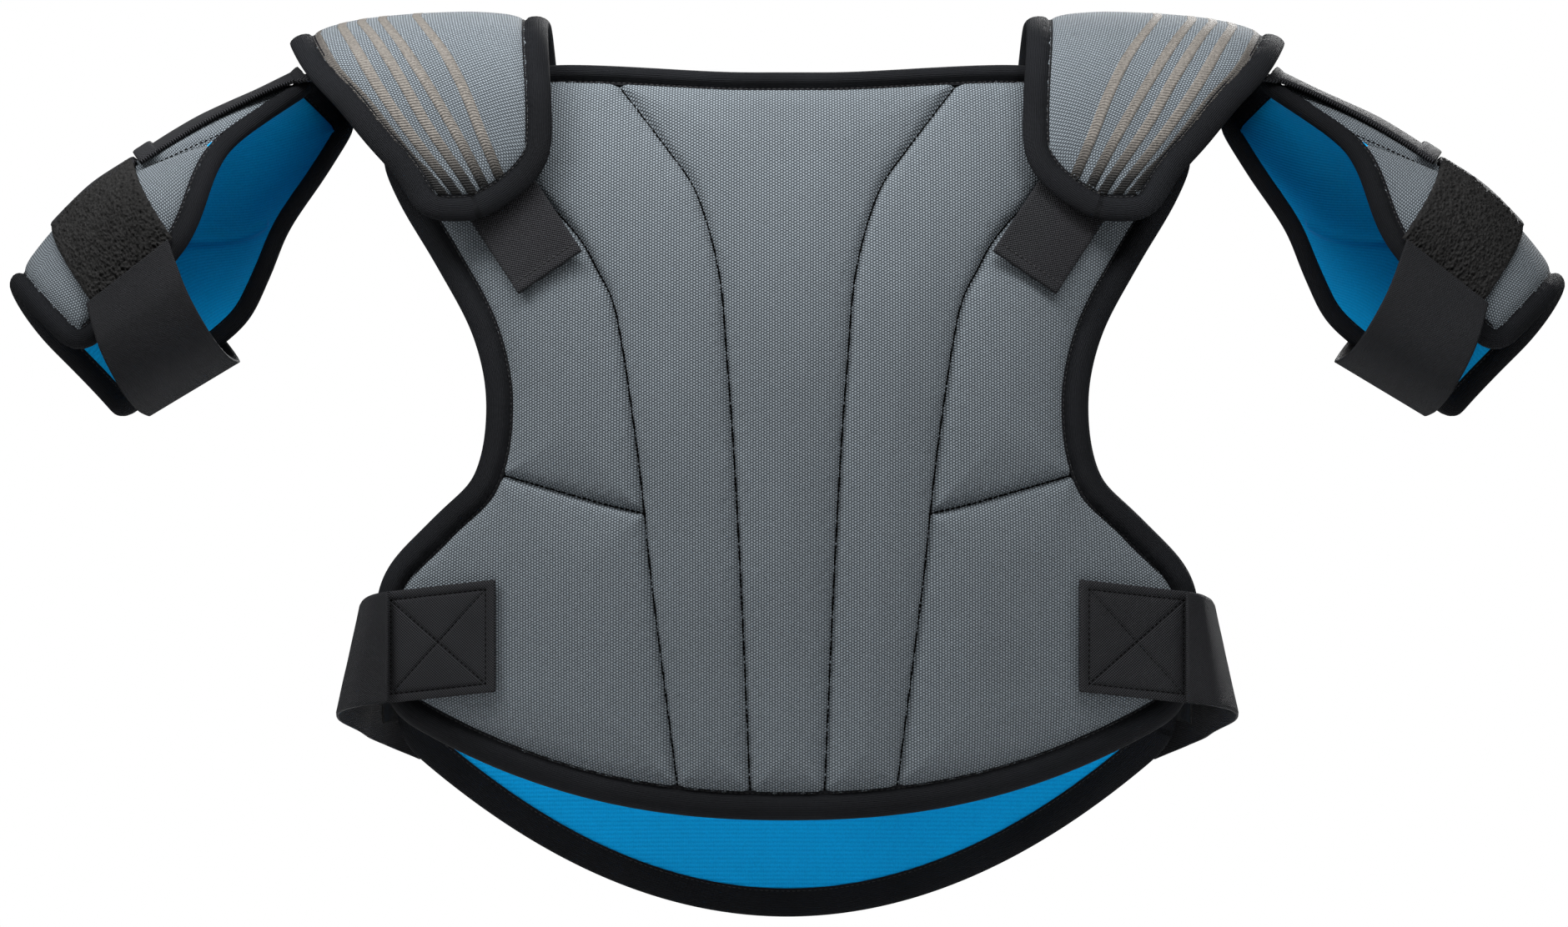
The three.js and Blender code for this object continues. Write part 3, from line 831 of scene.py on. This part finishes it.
BACK_INNER_SEAM = [(84.8, -6), (72.4, -22), (58.8, -40), (46, -58), (39.2, -75.6), (34.8, -92), (31.6, -110),
                   (29.4, -138), (26, -183), (22.4, -249), (17.8, -352)]
BACK_OUTER_SEAM = [(150, -44), (128, -57), (112, -71), (99, -86), (92, -99), (84.4, -114), (79.6, -136),
                   (75.6, -162), (72, -188), (68.8, -216), (65.4, -249), (52.6, -350)]
BACK_WAIST_SEAM = [(69, -217), (90, -212), (115, -205), (140, -198), (146, -197)]


def smooth_line(points):
    """A smooth run through (x, z) points, worked out by height on a tall line and by width on a wide one."""
    points = np.array(points, dtype=float)
    tall = abs(points[0, 1] - points[-1, 1]) > 60
    key, other = (1, 0) if tall else (0, 1)
    points = points[np.argsort(points[:, key])]
    at = np.linspace(points[0, key], points[-1, key], 120)
    value = profile(points[:, [key, other]])(at)
    return np.column_stack([value, at] if tall else [at, value])


def mirrored_seams(lines, point_of):
    """The seams through (x, z) lines on both sides of a panel."""
    runs = []
    for line in lines:
        smooth = smooth_line(line)
        for side in (1, -1):
            runs.append(seam_run(smooth * np.array([side, 1]), point_of))
    return runs


def build_back():
    seams = mirrored_seams([BACK_INNER_SEAM, BACK_OUTER_SEAM, BACK_WAIST_SEAM], back_point)
    foams = ["back_foam_centre"]
    foams += [f"back_foam_{place}_{side}" for place in ("inner", "upper", "lower") for side, _ in SIDES]
    panel("back", back_surface, seams, "back_panel", foams, seed=3, neck_share=0.64)
    seam_stitches("back_seam_stitches", seams, panel_normal(back_point), "back_panel")


def build_front():
    sternum = [(56, -100), (50, -180), (44, -260), (36, -340), (30, -404)]
    waist = [(48, -217), (80, -212), (110, -206), (140, -199)]
    arch = [(0, -150), (20, -151), (40, -156), (52, -163)]
    seams = mirrored_seams([sternum, waist, arch], front_point)
    foams = ["front_foam_sternum"]
    foams += [f"front_foam_{place}_{side}" for place in ("chest", "rib") for side, _ in SIDES]
    panel("front", front_surface, seams, "front_panel", foams, seed=11)
    seam_stitches("front_seam_stitches", seams, panel_normal(front_point), "front_panel")


# ---- straps ----


def ribbon(name, surface, size, lift, thick, material, sign=1, sewn=(), hem=0, pitch=1.0):
    """A band of a given size in millimetres, lifted off a surface and pulled in along sewn (u, v) lines.

    A hem is a doubled fold that many millimetres wide at the band's v end.
    """
    across = np.linspace(0, 1, int(size[0] / pitch) + 1)
    along = np.linspace(0, 1, int(size[1] / pitch) + 1)
    u, v = np.meshgrid(across, along, indexing="ij")
    points = surface(u, v)
    normals = normals_of(surface, u, v)
    flat = np.stack([u * size[0], v * size[1], u * 0], axis=-1)
    to_edge = np.minimum.reduce([flat[..., 0], size[0] - flat[..., 0], flat[..., 1], size[1] - flat[..., 1]])
    top = thick - 0.5 * np.exp(-(to_edge / 0.8) ** 2) + 0.12 * waviness(flat, 18, len(name))
    if sewn:
        to_sewn = nearest(flat, np.concatenate([flat_line(line, size) for line in sewn]))
        top += 0.55 * (1 - np.exp(-to_sewn / 3)) - 0.6 * np.exp(-(to_sewn / 0.7) ** 2)
    if hem:
        top += 1.0 / (1 + np.exp((size[1] - hem - flat[..., 1]) / 0.3))
    return body(name, points + normals * (lift + top)[..., None], points + normals * lift, [material], sign,
                uv=flat[..., :2])


def flat_line(line, size):
    """Points along a run of (u, v) corners, in the millimetres of a flat band."""
    corners = np.array([(u * size[0], v * size[1], 0) for u, v in line], dtype=float)
    return resample(corners, 0.5, closed=False)[0]


def sewn_rows(surface, size, lines, lift):
    """Stitch rows along (u, v) lines of a band, at a height over its surface."""
    paths = []
    for line in lines:
        flat = flat_line(line, size)
        u = flat[:, 0] / size[0]
        v = flat[:, 1] / size[1]
        normals = normals_of(surface, u, v)
        paths.append((surface(u, v) + normals * lift, normals, False))
    return paths


def box_and_cross(inset):
    """Lines of a box stitch: a square with its two diagonals."""
    low = (inset, inset)
    high = (1 - inset, 1 - inset)
    left = (inset, 1 - inset)
    right = (1 - inset, inset)
    return [[low, right], [right, high], [high, left], [left, low], [low, high], [left, right]]


def strap_patch_surface(u, v):
    """The waist strap's sewn end on the back panel; it slopes down towards the side."""
    x = lerp(138, 192, u)
    return back_point(x, lerp(WAIST_TOP - WAIST_STRAP, WAIST_TOP, v) + 0.12 * (191 - x))


WAIST_BEND = ((193, -68, -290), (203, -59, -290))


def build_waist():
    lift = PANEL_HALF + 1.8
    patch_size = (54, WAIST_STRAP)
    lines = box_and_cross(0.08)
    for side, sign in SIDES:
        patch = ribbon(f"strap_patch_{side}", strap_patch_surface, patch_size, lift, 1.8, WEB, sign,
                       sewn=lines, pitch=0.7)
        own(patch, "back_panel", "webbing", f"strap_patch_{side}")
        rows = sewn_rows(strap_patch_surface, patch_size, lines, lift + 1.35)
        box = stitches(f"strap_patch_stitches_{side}", rows, DARK_THREAD, sign, radius=0.36)
        own(box, "back_panel", "webbing")

        strap_size = (165, WAIST_STRAP)
        strap = ribbon(f"waist_strap_{side}", waist_strap_surface, strap_size, -0.8, 1.6, ELASTIC, sign,
                       pitch=1.5)
        own_across(strap, ("back_panel", f"waist_elastic_{side}"), *WAIST_BEND, sign, "elastic",
                   f"waist_strap_{side}")

        tab = ribbon(f"side_loop_tab_{side}", loop_tab_surface, (50, 37), -0.7, 1.4, PILE, sign)
        own(tab, "front_panel", "loop", f"side_loop_tab_{side}")


# ---- shoulders ----


CAP_US = np.linspace(0, 1, 110)
CAP_VS = np.linspace(-1, 1, 240)
YOKE_BEND = ((138, 61, -40), (136, 64, -62))


def cap_cover_shape():
    """Points, normals and heights of a cap's cover: a crown, and the swelling of cloth held at its edge."""
    u, v = np.meshgrid(CAP_US, CAP_VS, indexing="ij")
    points = cap_surface(u, v)
    normals = normals_of(cap_surface, u, v)
    to_edge = nearest(points, border_of(points))
    crown = 4.6 + 0.35 * waviness(points, 70, 21)
    height = CAP_SEAT + cushion(np.maximum(to_edge - 2.0, 0), 20, 1) * crown
    coarse = points[::4, ::5]
    held = np.zeros(coarse.shape[:2], dtype=bool)
    held[[0, -1], :] = True
    held[:, [0, -1]] = True
    moves = finer(swell(coarse, held, limit=5.0), len(CAP_US), len(CAP_VS))
    return points, normals, height + 0.2 * np.clip(np.sum(moves * normals, axis=-1), 0, 4)


def build_caps():
    points, normals, height = cap_cover_shape()
    outer = points + normals * height[..., None]
    inner = points - normals * 0.5
    liner_points = points[::2, ::2]
    liner_normals = normals[::2, ::2]
    edge = edge_frame(cap_surface, np.linspace(0, 1, 100), np.linspace(-1, 1, 200), corner=4.0)
    for side, sign in SIDES:
        cap_body = f"cap_{side}"
        cover = body(f"cap_cover_{side}", outer, inner, [MESH, TAPE], sign)
        own(cover, cap_body, "mesh_fabric",
            f"cap_cover_{side}", f"cap_foam_{side}", f"cap_plate_{side}", padded=0.8)
        outside = liner_points - liner_normals * 1.0
        inside = liner_points - liner_normals * 4.4
        liner = body(f"cap_liner_{side}", outside, inside, [TAPE], sign)
        own(liner, cap_body, "liner_fabric", f"cap_liner_{side}", padded=0.6)
        binding = tape(f"cap_binding_{side}", edge, (CAP_SEAT, 3.4), (3.3, 4.6), CAP["tape"], sign)
        own(binding, cap_body, "binding", f"cap_binding_{side}")
        rows = edge_stitches(edge, CAP_SEAT + 0.5)
        own(stitches(f"cap_stitches_{side}", rows, THREAD, sign), cap_body, "binding")
        for number, (place, tone) in enumerate(zip(CAP_STRIPES, STRIPE_TONES), start=1):
            stripe = build_stripe(f"cap_stripe_{number}_{side}", place, tone, points, normals, height, sign)
            own(stripe, cap_body, "mesh_fabric")


def build_yokes():
    u, v = np.meshgrid(np.linspace(0, 1, 40), np.linspace(0, 1, 90), indexing="ij")
    points = yoke_surface(u, v)
    half = 1.0 + cushion(nearest(points, border_of(points)), 14, 3.0)
    pad = normals_of(yoke_surface, u, v) * half[..., None]
    for side, sign in SIDES:
        yoke = body(f"yoke_{side}", points + pad, points - pad, [TAPE, LINER], sign)
        bodies = ("back_panel", "front_panel")
        own_across(yoke, bodies, *YOKE_BEND, sign, "binding", f"yoke_{side}", padded=0.6)


# Where each printed stripe runs: sideways place by height, from the tip to the top of the cap.
CAP_STRIPES = [
    profile([(-58, 136), (-50, 140), (-36, 146.5), (-17, 154.5), (1.6, 165), (20, 180)]),
    profile([(-64, 142), (-54, 148), (-32, 160.5), (-14, 171.5), (5, 184.5), (20, 196.5)]),
    profile([(-66, 148), (-58, 153.5), (-30, 173), (-8, 186), (11, 199), (20, 206.5)]),
    profile([(-66, 156), (-62, 159), (-36, 179), (-12, 195.5), (8, 208), (20, 216)]),
    profile([(-66, 163), (-50, 175.5), (-32, 190), (-12, 205), (4, 219), (20, 228.5)]),
]
STRIPE_TONES = (1, 1, 1, 1, 0.3)
STRIPE_HALF = 2.7


def between(values, row, column):
    """A grid of vectors read between its points."""
    i = row.astype(int)
    j = column.astype(int)
    a = (row - i)[..., None]
    b = (column - j)[..., None]
    first = lerp(values[i, j], values[i + 1, j], a)
    second = lerp(values[i, j + 1], values[i + 1, j + 1], a)
    return lerp(first, second, b)


def build_stripe(name, place, tone, points, normals, height, sign):
    """A printed band just over the cap's cover, from back tip to front tip, dark at its ends."""
    run = np.linspace(-0.985, 0.985, 200)
    z = cap_surface(np.full(run.shape, 0.5), run)[:, 2] + CAP["outer_drop"] * 0.09
    span = cap_arm_side(z) - cap_neck_side(z)
    middle = (place(z) - cap_neck_side(z)) / span
    room = np.minimum(middle, 1 - middle) * span
    half = STRIPE_HALF * np.clip(room / 3, 0.1, 1) * lerp(1.0, 0.8, np.clip(z / 20, 0, 1))
    sides = np.linspace(-1, 1, 5)
    u = np.clip(middle + sides[:, None] * (half / span), 0.01, 0.99)
    v = np.broadcast_to(run, u.shape)

    layered = np.concatenate([points, normals, height[..., None]], axis=-1)
    at = between(layered, u * (len(CAP_US) - 1), (v + 1) / 2 * (len(CAP_VS) - 1))
    base, up, high = at[..., :3], unit(at[..., 3:6]), at[..., 6:]
    shine = tone * np.clip((z + 56) / 40, 0, 1)
    uv = np.stack([lengths_of(base)[..., 1], np.broadcast_to(shine, u.shape)], axis=-1)
    return body(name, base + up * (high + 0.14), base + up * (high - 0.3), [PRINT], sign, uv=uv)


def cap_strap_surface(u, v):
    """The strap that comes out from under the cap, its width running from the arm side to the neck side."""
    across = lerp(18, -18, u)
    return back_point(lerp(150, 112, v) + 0.83 * across, lerp(-45, -102, v) - 0.555 * across)


def build_cap_straps():
    lift = PANEL_HALF + 1.5
    size = (36, 68)
    hem_line = [[(0.06, 0.93), (0.94, 0.93)]]
    for side, sign in SIDES:
        strap = ribbon(f"cap_strap_{side}", cap_strap_surface, size, lift, 1.7, WEB, sign,
                       sewn=hem_line, hem=5.5, pitch=0.7)
        own(strap, "back_panel", "webbing", f"cap_strap_{side}")
        rows = sewn_rows(cap_strap_surface, size, hem_line, lift + 2.6)
        own(stitches(f"cap_strap_hem_{side}", rows, THREAD, sign), "back_panel", "webbing")


# ---- arms ----

ARM_BAND_LIFT = ARM["half"] + 0.9
ARM_STRAP_BEND = ((316.2, 56.0, -127.3), (306.7, 50.6, -139.5))


def hanger_surface(u, v):
    """The strap from under the cap along the top of the arm, wider where it leaves the cap."""
    return arm_point(lerp(-6, 75, u), lerp(-29 - 40 * (1 - u) ** 6, 22, v))


def hanger_tab_surface(u, v):
    return arm_point(lerp(73, 83, u), lerp(-35, 23, v))


def arm_band_surface(u, v):
    return arm_point(lerp(84, 134, u), lerp(-24, 84, v))


def loop_patch_surface(u, v):
    """The loop patch round the back of the arm; it slants along the arm as it goes round."""
    return arm_point(lerp(84, 134, u) + 12 * (1 - v), lerp(-89, -16, v))


def crease_line():
    """Points and normals of the sewn crease on the arm cover, from its loop patch towards the cap."""
    along = np.linspace(84, 44, 90)
    angle = np.linspace(-29, -47, 90)
    normals = normals_of(lambda a, b: arm_point(a * 100, b * 100), along / 100, angle / 100)
    return arm_point(along, angle), normals


def build_arm_pads():
    u, v = np.meshgrid(np.linspace(0, 1, 150), np.linspace(0, 1, 170), indexing="ij")
    points = arm_surface(u, v)
    normals = normals_of(arm_surface, u, v)
    to_edge = np.maximum(nearest(points, border_of(points)) - 2.0, 0)
    dome = cushion(to_edge, 16, 1)
    crease, crease_normals = crease_line()
    height = ARM_SEAT + dome * (4.4 + 0.4 * waviness(points, 60, 31))
    height -= 2.6 * np.exp(-(nearest(points, crease) / 2.6) ** 2) * (to_edge > 0)
    dart = arm_point(np.linspace(94, 60, 60), np.linspace(88, 138, 60))
    depth = 2.0 + dome * (3.0 + 0.3 * waviness(points, 50, 32))
    depth -= 2.2 * np.exp(-(nearest(points, dart) / 2.2) ** 2) * np.clip(to_edge / 6, 0, 1)
    outer = points + normals * height[..., None]
    inner = points + normals * 0.4
    lining = points - normals * depth[..., None]
    edge = edge_frame(arm_surface, np.linspace(0, 1, 140), np.linspace(0, 1, 160), corner=5.0)
    topstitch = [(crease + crease_normals * 3.2, crease_normals, False)]
    for side, sign in SIDES:
        arm_body = f"arm_{side}"
        cover = body(f"arm_cover_{side}", outer, inner, [MESH, LINER], sign)
        own(cover, arm_body, "mesh_fabric", f"arm_cover_{side}", f"arm_foam_{side}", padded=0.7)
        liner = body(f"arm_liner_{side}", points, lining, [LINER], sign)
        own(liner, arm_body, "liner_fabric", f"arm_liner_{side}", padded=0.6)
        binding = tape(f"arm_binding_{side}", edge, (ARM_SEAT, 2.0), (4.2, 4.2), ARM["tape"], sign)
        own(binding, arm_body, "binding", f"arm_binding_{side}")
        rows = edge_stitches(edge, ARM_SEAT + 0.5, 2.5)
        own(stitches(f"arm_stitches_{side}", rows, THREAD, sign), arm_body, "binding")
        row = stitches(f"arm_topstitch_{side}", topstitch, DARK_THREAD, sign, radius=0.4)
        own(row, arm_body, "binding")


def build_arm_straps():
    webs = [("hanger_strap", hanger_surface, (84, 36), ARM_BAND_LIFT, 2.4),
            ("hanger_tab", hanger_tab_surface, (10, 36), ARM_BAND_LIFT + 1.9, 2.6),
            ("arm_band", arm_band_surface, (50, 76), ARM_BAND_LIFT, 2.4)]
    strap_size = (ARM_STRAP, 210)
    hem_line = [[(0.04, 0.035), (0.96, 0.035)]]
    for side, sign in SIDES:
        arm_body = f"arm_{side}"
        for name, surface, size, lift, thick in webs:
            web = ribbon(f"{name}_{side}", surface, size, lift, thick, WEB, sign)
            own(web, arm_body, "webbing", f"{name}_{side}")
        own(build_loop_patch(f"loop_patch_{side}", sign), arm_body, "loop", f"loop_patch_{side}")

        strap = ribbon(f"arm_strap_{side}", arm_strap_surface, strap_size, -0.8, 1.6, ELASTIC, sign,
                       sewn=hem_line, pitch=1.2)
        bodies = (arm_body, f"arm_elastic_{side}")
        own_across(strap, bodies, *ARM_STRAP_BEND, sign, "elastic", f"arm_strap_{side}")
        rows = sewn_rows(arm_strap_surface, strap_size, hem_line, 0.75)
        own(stitches(f"arm_strap_hem_{side}", rows, THREAD, sign), f"arm_elastic_{side}", "elastic")


def build_loop_patch(name, sign):
    """A patch of brushed loops: a sheet with a rough top that is thinner along its edges."""
    u, v = np.meshgrid(np.linspace(0, 1, 160), np.linspace(0, 1, 160), indexing="ij")
    points = loop_patch_surface(u, v)
    normals = normals_of(loop_patch_surface, u, v)
    draw = np.random.default_rng(5)
    rough = draw.normal(size=u.shape)
    for _ in range(2):
        around = [np.roll(rough, step, axis) for axis in (0, 1) for step in (1, -1)]
        rough = (rough + sum(around)) / 5
    from_edge = np.clip(np.minimum.reduce([u, 1 - u, v, 1 - v]) / 0.03, 0, 1)
    top = ARM_BAND_LIFT + 2.6 + 1.2 * rough * from_edge - 0.9 * (1 - from_edge)
    return body(name, points + normals * top[..., None], points + normals * ARM_BAND_LIFT, [PILE], sign)


# ---- stage ----

CAMERA_DISTANCE = 4.0
VIEW_PLANE = 0.095          # this far in front of the origin, the picture is VIEW_WIDTH wide
VIEW_WIDTH = 0.752
FLOOR_HEIGHT = -0.462
FLOOR_RADIUS = 0.65


def build_camera():
    data = bpy.data.cameras.new("camera")
    camera = add_object("camera", data)
    camera.location = (-0.0016, -CAMERA_DISTANCE, -0.193)
    camera.rotation_euler = (math.radians(90), 0, 0)
    data.sensor_width = 36
    data.lens = data.sensor_width * (CAMERA_DISTANCE - VIEW_PLANE) / VIEW_WIDTH
    bpy.context.scene.camera = camera


def build_floor():
    turns = np.linspace(0, 2 * math.pi, 64, endpoint=False)
    corners = [(FLOOR_RADIUS * math.cos(turn), FLOOR_RADIUS * math.sin(turn), FLOOR_HEIGHT) for turn in turns]
    data = bpy.data.meshes.new("floor")
    data.from_pydata(corners, [], [list(range(len(corners)))])
    paint = plain("floor_paint", (0.8, 0.8, 0.8), (0.84, 0.84, 0.84), roughness=0.9, specular=0.4)
    data.materials.append(paint)
    add_object("floor", data)


def build_world():
    """White where the camera sees past the object, and a faint cool light on it."""
    world = bpy.data.worlds.new("studio")
    world.use_nodes = True
    bpy.context.scene.world = world
    nodes = world.node_tree.nodes
    links = world.node_tree.links
    seen = nodes.new("ShaderNodeBackground")
    seen.inputs["Strength"].default_value = 1.0
    seen.inputs["Color"].default_value = (1, 1, 1, 1)
    ambient = nodes["Background"]
    ambient.inputs["Color"].default_value = (0.94, 0.97, 1, 1)
    ambient.inputs["Strength"].default_value = 0.16
    path = nodes.new("ShaderNodeLightPath")
    mix = nodes.new("ShaderNodeMixShader")
    links.new(path.outputs["Is Camera Ray"], mix.inputs[0])
    links.new(ambient.outputs[0], mix.inputs[1])
    links.new(seen.outputs[0], mix.inputs[2])
    links.new(mix.outputs[0], nodes["World Output"].inputs[0])


def light(name, place, size, power, aim=(0, 0, -0.2)):
    """A soft box of a given size in metres and power in watts, turned to face a point."""
    data = bpy.data.lights.new(name, "AREA")
    data.shape = "RECTANGLE"
    data.size, data.size_y = size
    data.energy = power
    lamp = add_object(name, data)
    lamp.location = place
    lamp.rotation_euler = (Vector(aim) - Vector(place)).to_track_quat("-Z", "Y").to_euler()


def build_stage():
    bpy.context.scene.view_settings.view_transform = "Standard"
    build_camera()
    build_floor()
    build_world()
    light("key", (-1.2, -0.7, 1.1), (0.7, 0.4), 17)
    light("shoulders", (-0.06, -0.31, 0.28), (1.1, 0.15), 9.6, aim=(0, -0.05, -0.05))
    light("top", (0.4, -0.3, 1.8), (1.6, 0.7), 14)
    light("fill_right", (1.7, -0.55, 0.2), (0.6, 1.2), 7)
    light("fill_left", (-1.9, -0.9, 0.0), (0.6, 1.2), 8)
    light("front", (0.3, -3.0, 0.6), (1.4, 1.0), 7)
    light("bounce", (0, -1.2, -1.4), (1.6, 0.6), 6)
    light("chest", (0.8, 2.2, 1.0), (1.4, 1.0), 60)


build_stage()
build_back()
build_front()
build_waist()
build_caps()
build_yokes()
build_cap_straps()
build_arm_pads()
build_arm_straps()
